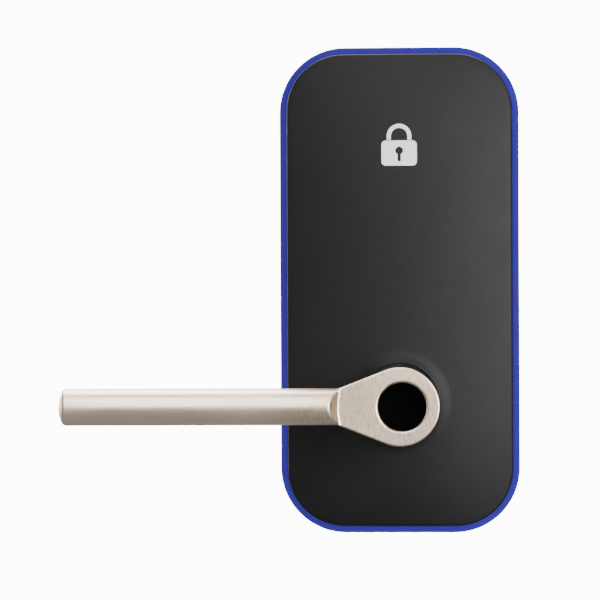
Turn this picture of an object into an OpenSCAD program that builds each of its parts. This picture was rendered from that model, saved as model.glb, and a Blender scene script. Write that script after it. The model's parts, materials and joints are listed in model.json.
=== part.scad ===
// Exterior trim of a keypad smart lock: a domed dead-front cover with a hidden touch
// keypad behind it, a soft coloured gasket round its edge, and a sprung lever that
// drives an 8 mm spindle through a motor-operated clutch.
//
// Everything is drawn in plan, with u to the right, v up and w out of the door, and is
// then stood up: the front faces -Y, the door plane is Y = 0, and the lever and the
// spindle turn about the Y axis through the origin.

/* [Case] */
// Outer width of the gasket that frames the case
case_w = 86.8; // [86:0.2:90]
// Outer height of the gasket
case_h = 176.4; // [176:0.2:182]
// Corner radius of the gasket seen from the front
case_r = 23.7; // [22:0.1:25]
// Height of the case centre above the lever axis
case_v = 39.5; // [39:0.1:40]
// Width of the gasket that shows round the cover
gasket_border = 2.2; // [2:0.1:2.6]
// Height of the gasket bead above the door
gasket_h = 6.5; // [5:0.1:8]
// Thickness of the steel back plate
plate_t = 2.5; // [2:0.1:2.7]

/* [Cover] */
// Height of the cover above the door at its centre
cover_h = 29; // [28.8:0.1:32]
// Wall thickness of the cover
cover_t = 2.2; // [1.8:0.1:2.4]
// How far the long walls of the cover lean in from the gasket to the face
side_draft = 0.8; // [0.4:0.1:1.2]
// How far the end walls of the cover lean in
end_draft = 1.6; // [0.8:0.1:2]
// Width of the rolled edge of the cover
edge_roll = 1.6; // [1.2:0.1:5.5]
// Height of the rolled edge of the cover
edge_drop = 1.5; // [1.2:0.1:3]
// Fall of the cover towards its long sides
side_fall = 3.5; // [2:0.1:3.6]
// Fall of the cover towards its ends
end_fall = 3.5; // [2:0.1:3.6]
// Radius of the hole that the lever neck passes through
neck_hole_r = 13.4; // [12.6:0.1:13.8]
// Radius at which the low flare round that hole meets the crown
collar_r = 18.7; // [18:0.1:20]
// Radius of the hollow curve of the flare
collar_sweep = 11; // [10:0.5:14]

/* [Lever] */
// Radius of the flat hub disc
hub_r = 13.45; // [13:0.01:15]
// Distance from the door to the flat face of the hub
hub_face = 70.5; // [68:0.1:74]
// Thickness of the hub disc
hub_t = 9.5; // [8.5:0.1:10.5]
// Radius of the round lever bar
bar_r = 6.25; // [5.5:0.05:6.8]
// Reach of the bar from the lever axis to its tip
bar_reach = 116.3; // [100:0.1:125]
// Radius of the turned neck between the hub and the case
neck_r = 11.5; // [11:0.1:12]
// Largest lever swing to either side
lever_swing = 50; // [30:1:50]

/* [Clutch] */
// Side of the square spindle
spindle_side = 8; // [7:0.1:8]
// Length of the spindle behind the door plane
spindle_tail = 40; // [25:1:60]
// Radius of the drive tube that carries the lever
tube_r = 8; // [7.5:0.1:8]
// Travel of the clutch slider
clutch_travel = 1.2; // [1:0.1:1.3]
// Pitch of the clutch lead screw
screw_pitch = 1.2; // [0.8:0.1:1.5]

/* [Fixing] */
// Distance between the two through-bolt posts
bolt_spacing = 69.85; // [69:0.05:71]
// Radius of the threaded bore in each post
bolt_bore_r = 2; // [1.6:0.05:2.5]
// Length of each post behind the door plane
post_tail = 14; // [8:0.5:20]

/* [Power] */
// Radius of one round cell
cell_r = 7.1; // [6.8:0.05:7.1]
// Length of one cell with its positive tip
cell_len = 50.5; // [49.5:0.1:50.5]

/* [Hidden] */
$fn = 64;
eps = 0.5;
plate_back = 1.2;
plate_front = plate_back + plate_t;
lip_inset = 7;
gasket_gap = 0.15;
foot_inset = gasket_border + 0.7;
wall_inset = foot_inset + cover_t;
hole_round = 0.5;
crest_r = neck_hole_r + hole_round;
collar_sink = 0.08;
collar_steps = 5;
collar_top = flare(crest_r);

// Steps along one corner arc, one long side and one end of the cover's rings
arc_steps = 8;
long_steps = 8;
short_steps = 4;

emblem_v = 91.2;
emblem_depth = 1.3;
emblem_proud = 0.08;
emblem_floor = cover_h - 0.5 - emblem_depth;

hub_back = hub_face - hub_t;
bar_axis = hub_face - 2.8;
neck_back = 22;
spot_r = 21.3;
spot_flank = 2.95;
tear_u = -20.6;
tube_end = 46;
bore_fit = 0.05;
cap_r = 8.13;
cap_u = 0.7;
cap_floor = 60;
cap_sink = 1.7;
grub_w = 35;

cass_r = 26;
cass_back = 3.9;
cass_floor = 5.3;
cass_front = 16.5;
cass_lid = 18.5;
bearing_r = 10.3;
cup_r = 16.7;
cup_in_r = 12.3;
cup_back = 5.6;
cup_floor = 10.2;
cup_front = 13;
shoe_r = 17.1;
shoe_out = 19.7;
shoe_half = 58;
shoe_front = 9.9;
shoe_room = clutch_travel + 0.4;
tab_r = 20.5;
tab_half = 6;
tab_room = 0.8;
disc_r = 12;
disc_back = 5.75;
disc_front = 10;
pin_half = 2;
pin_top = 16.1;
pin_foot = 10.9;
spring_wire = 0.4;
spring_r = 11.1;
screw_w = 9.2;
screw_core = 1.5;
bay_half = 8;
bay_top = 54.5;
motor_v = 38;
cass_screw_at = [[0, -23.6], [23.2, 4.1], [-23.2, 4.1]];

board_back = 20.6;
board_front = 22.2;
board_half = 28;
board_v0 = 55;
board_v1 = 113.5;
board_screw_at = [[25, 58], [-25, 58], [25, 110.9], [-25, 110.9]];
pad_v = 83.5;
pad_u_pitch = 13;
pad_v_pitch = 11.5;
track = 0.5;
track_pitch = 0.9;

ctrl_u0 = 10.5;
ctrl_u1 = 35.5;
ctrl_v0 = 28;
ctrl_v1 = 55;
ctrl_w = 9;
ctrl_t = 1.2;
ctrl_top = ctrl_w + ctrl_t;
cable_u0 = 16;
cable_u1 = 22.5;
cable_t = 0.3;
ctrl_screw_at = [[13.3, 30.8], [32.7, 30.8], [13.3, 52.2], [32.7, 52.2]];

cell_w = 12.55;
cell_pitch = 14.7;
tray_v0 = 56.5;
tray_v1 = 114;
tray_wall = 1.2;
tray_half = 30.4;
tray_screw_at = [[33.2, 85], [-33.2, 85]];
contact_t = 0.4;

hook_u = 15;
hook_half = 4;
hook_v = 114.6;
cover_screw_w = 12;
cover_foot = case_v - case_h / 2 + foot_inset;
post_r = 3.9;
shoulder_r = 2.9;

// ---- shared shapes ----

module plan() {
    rotate([90, 0, 0]) children();
}

// Turns a shape drawn along w so that it runs along v.
module along_v() {
    rotate([-90, 0, 0]) children();
}

function corner_arc(cx, cy, r, a0, n) =
    [for (i = [0:n]) [cx + r * cos(a0 + 90 * i / n), cy + r * sin(a0 + 90 * i / n)]];

function rounded(w, h, r, n = 9) = concat(
    corner_arc(w / 2 - r, h / 2 - r, r, 0, n),
    corner_arc(r - w / 2, h / 2 - r, r, 90, n),
    corner_arc(r - w / 2, r - h / 2, r, 180, n),
    corner_arc(w / 2 - r, r - h / 2, r, 270, n));

// A slab with the outline of the case, set in from its edge by inset.
module case_slab(inset, w0, w1) {
    translate([0, case_v, w0]) linear_extrude(w1 - w0)
        polygon(rounded(case_w - 2 * inset, case_h - 2 * inset, case_r - inset));
}

// A box between two corners.
module block(u, v, w) {
    translate([u[0], v[0], w[0]]) cube([u[1] - u[0], v[1] - v[0], w[1] - w[0]]);
}

module rod(r, w0, w1) {
    translate([0, 0, w0]) cylinder(r = r, h = w1 - w0);
}

// Part of a ring about the w axis, between the angles a0 and a1.
module sector(r0, r1, a0, a1, w0, w1) {
    rotate([0, 0, a0]) rotate_extrude(angle = a1 - a0)
        translate([r0, w0]) square([r1 - r0, w1 - w0]);
}

module at(points) {
    for (p = points) translate([p[0], p[1], 0]) children();
}

// A round-headed screw with a cross recess. The head sits on w = seat.
module cross_screw(shank_r, head_r, head_h, seat, tip) {
    recess = head_r * 0.62;
    difference() {
        union() {
            rod(shank_r, tip, seat + eps / 2);
            translate([0, 0, seat]) rotate_extrude() polygon([
                [0, 0], [head_r, 0], [head_r, head_h * 0.45], [head_r * 0.86, head_h * 0.8],
                [head_r * 0.55, head_h], [0, head_h]]);
        }
        for (a = [0, 90]) rotate([0, 0, a])
            block([-recess, recess], [-head_r * 0.14, head_r * 0.14],
                [seat + head_h * 0.45, seat + head_h + eps]);
    }
}

// A round wire wound about the w axis from radius r0 to r1, h tall over all.
function wire_ring(r, a, z, wire, sides) = [for (k = [0:sides - 1])
    let (b = 360 * k / sides, q = r + wire * cos(b)) [q * cos(a), q * sin(a), z + wire * sin(b)]];

module coil(r0, r1, h, wire, turns, steps = 16, sides = 6) {
    n = ceil(turns * steps);
    rings = [for (i = [0:n]) wire_ring(r0 + (r1 - r0) * i / n, 360 * turns * i / n,
        wire + (h - 2 * wire) * i / n, wire, sides)];
    walls = [for (i = [0:n - 1], k = [0:sides - 1]) let (m = (k + 1) % sides)
        [i * sides + k, i * sides + m, (i + 1) * sides + m, (i + 1) * sides + k]];
    start = [[for (k = [0:sides - 1]) sides - 1 - k]];
    end = [[for (k = [0:sides - 1]) n * sides + k]];
    polyhedron(points = [for (ring = rings) each ring], faces = concat(walls, start, end));
}

// ---- case ----

// Height of the crowned front at a point measured from the case centre.
function crown(u, v) = cover_h - side_fall * pow(u / 40, 2) - end_fall * pow(v / 85, 4);

function between(a, b, n) = [for (i = [1:n - 1]) a + (b - a) * i / n];

function dense_outline(w, h, r) = let (
    a = corner_arc(w / 2 - r, h / 2 - r, r, 0, arc_steps),
    b = corner_arc(r - w / 2, h / 2 - r, r, 90, arc_steps),
    c = corner_arc(r - w / 2, r - h / 2, r, 180, arc_steps),
    d = corner_arc(w / 2 - r, r - h / 2, r, 270, arc_steps))
    concat(a, between(a[arc_steps], b[0], short_steps),
        b, between(b[arc_steps], c[0], long_steps),
        c, between(c[arc_steps], d[0], short_steps),
        d, between(d[arc_steps], a[0], long_steps));

function cover_outline(inset_u, inset_v) = dense_outline(case_w - 2 * inset_u,
    case_h - 2 * inset_v, case_r - (inset_u + inset_v) / 2);

function face_outline(inset) = cover_outline(gasket_border + side_draft + inset,
    gasket_border + end_draft + inset);

// The solid under the cover's outer skin, lifted by raise: a foot inside the gasket, walls
// that lean in, a rolled edge, then rings that shrink towards the centre of the crown.
module crown_solid(raise = 0) {
    rim = cover_outline(gasket_border, gasket_border);
    inner = face_outline(edge_roll);
    roll_rings = [for (t = [0:18:90]) let (ring = face_outline(edge_roll * (1 - cos(t))))
        [for (p = ring) [p[0], p[1], raise + crown(p[0], p[1]) - edge_drop * (1 - sin(t))]]];
    crown_rings = [for (s = [0.8, 0.6, 0.4, 0.2])
        [for (p = inner) [s * p[0], s * p[1], raise + crown(s * p[0], s * p[1])]]];
    foot_rings = [for (w = [plate_front, gasket_h]) [for (p = rim) [p[0], p[1], w]]];
    rings = concat(foot_rings, roll_rings, crown_rings);
    n = len(rim);
    last = len(rings) - 1;
    tip = len(rings) * n;
    foot = tip + 1;
    walls = [for (k = [0:last - 1], i = [0:n - 1]) let (j = (i + 1) % n, q = k * n)
        each [[q + i, q + n + i, q + n + j], [q + i, q + n + j, q + j]]];
    fans = [for (i = [0:n - 1]) let (j = (i + 1) % n)
        each [[tip, last * n + j, last * n + i], [foot, i, j]]];
    translate([0, case_v, 0]) polyhedron(
        points = concat([for (ring = rings) each ring],
            [[0, 0, raise + cover_h], [0, 0, plate_front]]),
        faces = concat(walls, fans));
}

// Room inside the cover, in steps that keep the wall thickness under the crown.
module cover_room() {
    roof = cover_h - side_fall - end_fall;
    case_slab(wall_inset, plate_front - eps, roof - 1);
    case_slab(wall_inset + 3.8, plate_front, roof + 0.6);
    case_slab(wall_inset + 11.8, plate_front, roof + 1.9);
}

// Height of the flare over the crown beside the hole, at a radius from the lever axis.
function flare(r) = crown(r, -case_v) - collar_sink
    + collar_sweep - sqrt(pow(collar_sweep, 2) - pow(collar_r - r, 2));

// Low flare that sweeps up from the crown to the hole for the lever neck.
module neck_collar() {
    foot = cover_h - cover_t - 1;
    sweep_points = [for (k = [0:collar_steps])
        let (r = collar_r - (collar_r - crest_r) * k / collar_steps) [r, flare(r)]];
    rotate_extrude() polygon(concat([[0, foot], [collar_r, foot]], sweep_points,
        [[0, collar_top]]));
}

module neck_opening() {
    top = collar_top;
    rod(neck_hole_r, plate_front, top + eps);
    rotate_extrude() polygon([[0, top - hole_round], [neck_hole_r, top - hole_round],
        [neck_hole_r + hole_round * 0.3, top - hole_round * 0.35],
        [crest_r, top], [crest_r, top + eps], [0, top + eps]]);
}

// Hooks that drop behind the top of the back plate.
module cover_hooks() {
    roof = cover_h - side_fall - end_fall;
    for (s = [-1, 1]) {
        span = [s * hook_u - hook_half, s * hook_u + hook_half];
        block(span, [hook_v, hook_v + 1.8], [0.2, roof + 1]);
        block(span, [hook_v, hook_v + 3.8], [0.2, plate_back - 0.1]);
    }
}

module front_cover() {
    color([0.07, 0.07, 0.075]) plan() difference() {
        union() {
            difference() {
                crown_solid();
                cover_room();
            }
            neck_collar();
            cover_hooks();
            at(board_screw_at) rod(2.5, board_front, board_front + 1.3);
        }
        neck_opening();
        translate([0, emblem_v, emblem_floor]) linear_extrude(5) padlock();
        at(board_screw_at) rod(1, board_front - eps, board_front + 2);
        translate([0, cover_foot - 1, cover_screw_w]) along_v() {
            rod(1.7, 0, 4.5);
            rod(2.9, 0, 2.5);
        }
    }
}

// Generic padlock sign: a shackle over a body with a keyhole.
module padlock() {
    body_w = 12.6;
    body_h = 9;
    body_v = -3.1;
    bow_v = 2.9;
    bow_r = 4.4;
    bow_t = 1.5;
    difference() {
        translate([0, body_v]) polygon(rounded(body_w, body_h, 1.6, 4));
        translate([0, body_v + 0.9]) circle(r = 1.35, $fn = 24);
        translate([0, body_v - 1.3]) square([1.1, 3.2], center = true);
    }
    difference() {
        translate([0, bow_v]) circle(r = bow_r, $fn = 36);
        translate([0, bow_v]) circle(r = bow_r - bow_t, $fn = 36);
        translate([-6, bow_v - 5.9]) square([12, 5.9]);
    }
    for (u = [-bow_r, bow_r - bow_t]) translate([u, bow_v - 1.3]) square([bow_t, 1.4]);
}

module lock_emblem() {
    color([0.86, 0.87, 0.88]) plan() intersection() {
        translate([0, emblem_v, emblem_floor]) linear_extrude(3) padlock();
        crown_solid(emblem_proud);
    }
}

// Cross-section of the gasket: a bead that stands round the cover, and a thin lip that
// seals between the back plate and the door. Its outer edge is at x = case_r.
module gasket_section() {
    nose = 1.3;
    inner = case_r - gasket_border + gasket_gap;
    lip = case_r - lip_inset;
    polygon(concat(
        [[lip, 0], [case_r - 0.6, 0], [case_r, 0.6]],
        [for (a = [0:18:90]) [case_r - nose + nose * cos(a), gasket_h - nose + nose * sin(a)]],
        [[inner + 0.4, gasket_h], [inner, gasket_h - 0.4], [inner, plate_back],
            [lip, plate_back]]));
}

module trim_gasket() {
    run_u = case_w / 2 - case_r;
    run_v = case_h / 2 - case_r;
    corners = [[run_u, run_v, 0], [-run_u, run_v, 90], [-run_u, -run_v, 180],
        [run_u, -run_v, 270]];
    color([0.22, 0.27, 0.62]) plan() translate([0, case_v, 0]) union() {
        for (c = corners) translate([c[0], c[1], 0]) rotate([0, 0, c[2]])
            rotate_extrude(angle = 90) gasket_section();
        for (s = [0, 180]) rotate([0, 0, s]) {
            translate([run_u, run_v, 0]) rotate([90, 0, 0])
                linear_extrude(2 * run_v) gasket_section();
            rotate([0, 0, 90]) translate([run_v, run_u, 0]) rotate([90, 0, 0])
                linear_extrude(2 * run_u) gasket_section();
        }
    }
}

module back_plate() {
    foot = case_v - case_h / 2;
    color([0.62, 0.63, 0.65]) plan() difference() {
        union() {
            case_slab(gasket_border + 0.2, plate_back, plate_front);
            difference() {
                case_slab(wall_inset + 0.2, plate_front - eps, plate_front + 2.3);
                case_slab(wall_inset + 1.8, plate_front - 2 * eps, plate_front + 3);
            }
            block([-5, 5], [foot + 5.5, foot + 7.9], [plate_front - eps, 16]);
            at(ctrl_screw_at) rod(2.2, plate_front - eps, ctrl_w);
        }
        rod(9.5, 0, plate_front + eps);
        for (s = [-1, 1]) {
            translate([0, s * bolt_spacing / 2, 0])
                rod(shoulder_r + bore_fit, 0, plate_front + eps);
            translate([s * hook_u, hook_v - 0.4, 0]) block(
                [-hook_half - 0.4, hook_half + 0.4], [0, 4.6], [0, plate_front + eps]);
        }
        at(cass_screw_at) rod(1.25, 0, plate_front + eps);
        at(tray_screw_at) rod(1.25, 0, plate_front + eps);
        at(ctrl_screw_at) rod(1.1, plate_front, ctrl_w + eps);
        translate([0, foot + 5, cover_screw_w]) along_v() rod(1.45, 0, 4);
    }
}

module mounting_posts() {
    color([0.75, 0.76, 0.78]) plan() for (s = [-1, 1])
        translate([0, s * bolt_spacing / 2, 0]) difference() {
            union() {
                rod(post_r, -post_tail, plate_back);
                rod(shoulder_r, plate_back - eps, plate_front);
            }
            rod(bolt_bore_r, -post_tail - eps, 2);
        }
}

module cover_screw() {
    color([0.3, 0.3, 0.32]) plan() translate([0, cover_foot + 1.5, cover_screw_w])
        rotate([90, 0, 0]) cross_screw(1.45, 2.6, 1.3, 0, -4.8);
}

// ---- touch keypad and reader ----

module reader_board() {
    color([0.05, 0.3, 0.16]) plan() difference() {
        translate([0, (board_v0 + board_v1) / 2, board_back])
            linear_extrude(board_front - board_back)
            polygon(rounded(2 * board_half, board_v1 - board_v0, 3, 5));
        at(board_screw_at) rod(1.1, board_back - eps, board_front + eps);
    }
}

// Twelve copper touch areas in three columns and four rows.
module touch_pads() {
    color([0.8, 0.5, 0.28]) plan() for (i = [-1:1], j = [-1.5:1:1.5])
        translate([i * pad_u_pitch, pad_v + j * pad_v_pitch, board_front])
            linear_extrude(0.2) polygon(rounded(9, 8, 1.6, 5));
}

// Rectangular reader aerial: turns of copper track round the touch areas.
module antenna_coil() {
    color([0.85, 0.56, 0.3]) plan() for (i = [0:3]) {
        w = 46.4 - 2 * i * track_pitch;
        h = 52.4 - 2 * i * track_pitch;
        r = 5 - i * track_pitch;
        translate([0, pad_v + 0.6, board_front]) linear_extrude(0.15) difference() {
            polygon(rounded(w, h, r, 5));
            polygon(rounded(w - 2 * track, h - 2 * track, r - track, 5));
        }
    }
}

// Small lamps between the rows of touch areas.
module keypad_leds() {
    color([0.95, 0.95, 0.85]) plan() for (i = [-1:1], j = [-1:1])
        translate([i * pad_u_pitch, pad_v + j * pad_v_pitch, board_front + 0.45])
            cube([1.6, 0.9, 0.9], center = true);
}

module reader_screws() {
    color([0.7, 0.7, 0.72]) plan() at(board_screw_at) translate([0, 0, board_back])
        rotate([180, 0, 0]) cross_screw(0.98, 1.9, 1.1, 0, -3.4);
}

// ---- controller ----

module controller_board() {
    color([0.05, 0.26, 0.15]) plan() difference() {
        block([ctrl_u0, ctrl_u1], [ctrl_v0, ctrl_v1], [ctrl_w, ctrl_top]);
        at(ctrl_screw_at) rod(1.15, ctrl_w - eps, ctrl_top + eps);
    }
}

module controller_chips() {
    top = ctrl_top;
    color([0.1, 0.1, 0.11]) plan() {
        block([18, 27], [34, 43], [top, top + 1.2]);
        block([29, 33.5], [37, 41], [top, top + 1]);
        block([13, 16.2], [36, 40.5], [top, top + 0.9]);
        for (i = [0:4]) block([16 + 2.2 * i, 17.3 + 2.2 * i], [45, 45.9], [top, top + 0.6]);
        block([cable_u0 - 0.2, cable_u1 + 0.2], [49.2, 50.4], [top, top + 1.6]);
        at([[30.2, 43.6], [30.2, 47.4]]) rod(1.7, top, top + 3.2);
    }
}

module controller_screws() {
    color([0.7, 0.7, 0.72]) plan() at(ctrl_screw_at)
        cross_screw(1.08, 2, 1.2, ctrl_top, ctrl_top - 5);
}

// Flat cable from the controller up to the back of the reader board.
module flat_cable() {
    span = [cable_u0, cable_u1];
    low = ctrl_top + 0.8;
    high = board_back - 0.6;
    rise = 55.7;
    color([0.85, 0.6, 0.25]) plan() {
        block(span, [50.4, rise + cable_t], [low, low + cable_t]);
        block(span, [rise, rise + cable_t], [low, high + cable_t]);
        block(span, [rise, 58.4], [high, high + cable_t]);
        block([cable_u0 - 0.2, cable_u1 + 0.2], [57.2, 59.2], [high, board_back]);
    }
}

module buzzer() {
    color([0.09, 0.09, 0.1]) plan() translate([-24, 42, 0]) difference() {
        rod(8, plate_front, 9.4);
        rod(1.1, 8.4, 9.4 + eps);
    }
}

module tamper_switch() {
    color([0.15, 0.15, 0.16]) plan() {
        block([-34, -28], [27, 33], [plate_front, 9]);
        translate([-31, 30, 0]) rod(1.3, 8.9, 10.6);
    }
}

// ---- power ----

function cell_u(i) = (i - 1.5) * cell_pitch;
function cell_turned(i) = i % 2 == 1;
pocket_v0 = tray_v0 + tray_wall;
pocket_v1 = tray_v1 - tray_wall;

module battery_holder() {
    color([0.11, 0.11, 0.12]) plan() difference() {
        union() {
            block([-tray_half, tray_half], [tray_v0, tray_v1], [cass_back, cell_w + 0.4]);
            block([-tray_half, tray_half], [tray_v0, pocket_v0], [cass_back, 16]);
            block([-tray_half, tray_half], [pocket_v1, tray_v1], [cass_back, 16]);
            for (s = [-1, 1]) block([s * 33.1 - 3, s * 33.1 + 3], [80, 90], [cass_back, 5.9]);
        }
        for (i = [0:3]) translate([cell_u(i), pocket_v0, cell_w]) along_v()
            rod(cell_r + 0.2, 0, pocket_v1 - pocket_v0);
        at(tray_screw_at) rod(1.35, cass_back - eps, 6.5);
    }
}

// One cell lies along v with its positive tip at the top, or at the bottom if turned.
module cell(i) {
    tip_h = 1.4;
    tip_v = cell_turned(i) ? pocket_v0 + contact_t + 0.1 : pocket_v1 - contact_t - 0.1;
    color([0.16, 0.32, 0.2]) plan() translate([cell_u(i), tip_v, cell_w])
        rotate([cell_turned(i) ? -90 : 90, 0, 0]) {
            rod(2.7, 0, tip_h + eps);
            rod(cell_r, tip_h, cell_len);
        }
}

module battery_1() { cell(0); }
module battery_2() { cell(1); }
module battery_3() { cell(2); }
module battery_4() { cell(3); }

// A conical spring at the negative end of each cell.
module battery_springs() {
    gap = pocket_v1 - pocket_v0 - 2 * contact_t - 0.1 - cell_len;
    color([0.78, 0.79, 0.8]) plan() for (i = [0:3])
        translate([cell_u(i), cell_turned(i) ? pocket_v1 - contact_t : pocket_v0 + contact_t,
            cell_w]) rotate([cell_turned(i) ? 90 : -90, 0, 0])
                coil(4.2, 2.6, gap, 0.35, 3, 14, 6);
}

module battery_contacts() {
    color([0.8, 0.78, 0.7]) plan() for (i = [0:3], end = [0, 1]) {
        v = end == 0 ? pocket_v0 : pocket_v1 - contact_t;
        block([cell_u(i) - 4.8, cell_u(i) + 4.8], [v, v + contact_t],
            [cell_w - 4.8, cell_w + 4.2]);
    }
}

module holder_screws() {
    color([0.7, 0.7, 0.72]) plan() at(tray_screw_at) cross_screw(1.25, 2.3, 1.4, 5.9, 1.6);
}

// ---- clutch ----

module bay_outline(w0, w1) {
    block([-bay_half, bay_half], [20, bay_top], [w0, w1]);
}

module clutch_cassette() {
    color([0.68, 0.69, 0.71]) plan() difference() {
        union() {
            rod(cass_r, cass_back, cass_front);
            bay_outline(cass_back, cass_front);
        }
        // Room for the cup, for the slider's shoe above it and for the stop tab below.
        shoe_sweep = shoe_half + 5;
        tab_sweep = lever_swing + tab_half + 1;
        rod(cup_r + 0.7, cass_floor, cass_front + eps);
        sector(15, shoe_out + shoe_room, 90 - shoe_sweep, 90 + shoe_sweep,
            cass_floor + 0.1, shoe_front + 0.6);
        sector(15, tab_r + tab_room, 270 - tab_sweep, 270 + tab_sweep,
            cup_floor - 0.3, cup_front + 0.4);
        block([-4.3, 4.3], [15.5, motor_v], [cass_floor + 0.2, cass_front + eps]);
        block([-6.1, 6.1], [motor_v - 0.2, 53.4], [cass_back - eps, cass_front + eps]);
        rod(6.6, cass_back - eps, cass_floor + eps);
        at(cass_screw_at) rod(1.35, cass_back - eps, cass_front + eps);
    }
}

// Lid of the cassette, with the fixed peg that holds one leg of the return spring.
module cassette_lid() {
    color([0.74, 0.75, 0.77]) plan() difference() {
        union() {
            rod(cass_r, cass_front, cass_lid);
            bay_outline(cass_front, cass_lid);
            rotate([0, 0, 205]) translate([15.7, 0, 0]) rod(0.9, 13.8, cass_front + eps);
        }
        rod(bearing_r + bore_fit, cass_front - eps, cass_lid + eps);
        at(cass_screw_at) rod(1.35, cass_front - eps, cass_lid + eps);
        translate([0, 46, 0]) rod(2.2, cass_front - eps, cass_lid + eps);
    }
}

module cassette_screws() {
    color([0.7, 0.7, 0.72]) plan() at(cass_screw_at)
        cross_screw(1.25, 2.4, 1.5, cass_lid, 1.6);
}

module neck_bearing() {
    color([0.1, 0.1, 0.11]) plan() difference() {
        union() {
            rod(14, cass_lid, cass_lid + 2);
            rod(bearing_r, 14.6, cass_lid + eps);
        }
        rod(tube_r + bore_fit, 14, cass_lid + 3);
    }
}

// Torsion spring that centres the lever, with a leg at each end.
module return_spring() {
    height = 3;
    color([0.6, 0.61, 0.63]) plan() translate([0, 0, cup_front + 0.3]) {
        coil(spring_r, spring_r, height, spring_wire, 2.55, 20, 6);
        translate([spring_r, 0, spring_wire]) rotate([0, 90, 0]) rod(spring_wire, 0, 3.6);
        rotate([0, 0, 198]) translate([spring_r, 0, height - spring_wire])
            rotate([0, 90, 0]) rod(spring_wire, 0, 5.2);
    }
}

// The slider's curved shoe lies outside the rotating cup and frees or presses the pin.
module clutch_slider() {
    color([0.85, 0.83, 0.76]) plan() difference() {
        union() {
            sector(shoe_r, shoe_out, 90 - shoe_half, 90 + shoe_half, 5.7, shoe_front);
            block([-4, 4], [18.4, 34], [5.7, 12.7]);
        }
        translate([0, 25, screw_w]) along_v() rod(2.15, 0, 10);
        rod(shoe_r, 5, 13);
    }
}

module lead_screw() {
    color([0.72, 0.66, 0.45]) plan() translate([0, 0, screw_w]) along_v() {
        thread_h = 9.4;
        ridge = 0.35;
        translate([0, 0, 27.2]) coil(screw_core, screw_core, thread_h, ridge,
            (thread_h - 2 * ridge) / screw_pitch, 12, 5);
        rod(screw_core, 27, motor_v + 1.6);
    }
}

module clutch_motor() {
    color([0.7, 0.71, 0.73]) plan() difference() {
        union() {
            block([-5.8, 5.8], [motor_v, motor_v + 6], [screw_w - 5, screw_w + 5]);
            translate([0, motor_v + 5.5, screw_w]) along_v() rod(5, 0, 9.3);
            for (s = [-1, 1]) block([s * 2.6 - 0.5, s * 2.6 + 0.5], [52, 53.2],
                [screw_w + 3.6, screw_w + 5.8]);
        }
        translate([0, motor_v - eps, screw_w]) along_v() rod(1.8, 0, eps + 2);
    }
}

// Cup, end wall and drive tube in one piece. The lever is clamped on the tube, the pin
// slides in the slot at the top of the cup, and the tab below meets the cassette stops.
module outer_hub() {
    color([0.66, 0.66, 0.67]) plan() difference() {
        union() {
            rod(cup_r, cup_back, cup_front);
            rod(tube_r, cup_front - eps, tube_end);
            sector(cup_r - 1, tab_r, 270 - tab_half, 270 + tab_half, cup_floor, cup_front);
            rotate([0, 0, 8]) translate([13.8, 0, 0]) rod(0.9, cup_front - eps, 15);
        }
        rod(cup_in_r, cup_back - eps, cup_floor);
        rod(5, cup_floor - eps, tube_end + eps);
        block([-pin_half - bore_fit, pin_half + bore_fit], [cup_in_r - 1.4, cup_r + 1],
            [cup_back - eps, 9.75]);
        difference() {
            rod(tube_r + 1, 20.7, 21.6);
            rod(tube_r - 0.7, 20, 22);
        }
        block([-4, 4], [-9, -tube_r + 0.4], [grub_w - 3, grub_w + 3]);
    }
}

module hub_circlip() {
    color([0.3, 0.3, 0.32]) plan() sector(tube_r - 0.65, 10.2, -60, 240, 20.75, 21.55);
}

module clutch_pin() {
    color([0.8, 0.8, 0.82]) plan() intersection() {
        block([-pin_half, pin_half], [pin_foot, pin_top + 1], [5.85, 9.65]);
        rod(pin_top + 0.2, 5, 10);
    }
}

module spindle_hub() {
    half = spindle_side / 2 + 0.02;
    color([0.6, 0.6, 0.62]) plan() difference() {
        rod(disc_r, disc_back, disc_front);
        block([-half, half], [-half, half], [disc_back - eps, disc_front + eps]);
        block([-pin_half - 0.15, pin_half + 0.15], [pin_foot - 0.4, disc_r + 1],
            [disc_back - eps, disc_front + eps]);
    }
}

module spindle() {
    half = spindle_side / 2;
    color([0.72, 0.73, 0.74]) plan() difference() {
        block([-half, half], [-half, half], [-spindle_tail, 9.8]);
        block([-half - 1, half + 1], [-0.6, 0.6], [-spindle_tail - 1, -spindle_tail + 18]);
    }
}

// ---- lever ----

// Tangent point on the hub circle of the flank that leaves the bar at tear_u.
tear_angle = atan2(bar_r, tear_u) - acos(hub_r / norm([tear_u, bar_r]));
tear_tangent = hub_r * [cos(tear_angle), sin(tear_angle)];

// The round bar as a turned piece, with a slightly domed end and a small edge radius.
module bar_blank() {
    dome = 11;
    edge = 0.9;
    start = -6;
    length = bar_reach + start;
    rise = dome - sqrt(pow(dome, 2) - pow(bar_r - edge, 2));
    translate([start, 0, bar_axis]) rotate([0, -90, 0]) rotate_extrude() polygon(concat(
        [[0, 0], [bar_r, 0]],
        [for (a = [0:22.5:67.5]) [bar_r - edge + edge * cos(a),
            length - rise - edge * (1 - sin(a))]],
        [for (k = [1:-0.2:0]) let (x = (bar_r - edge) * k)
            [x, length - dome + sqrt(pow(dome, 2) - pow(x, 2))]]));
}

// Tool that sinks the bar to the hub face, with a conical flank where the bar rises.
module spot_face() {
    rotate_extrude() polygon([[0, hub_face], [spot_r, hub_face],
        [spot_r + spot_flank, hub_face + 4], [spot_r + spot_flank, hub_face + 10],
        [0, hub_face + 10]]);
}

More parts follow.
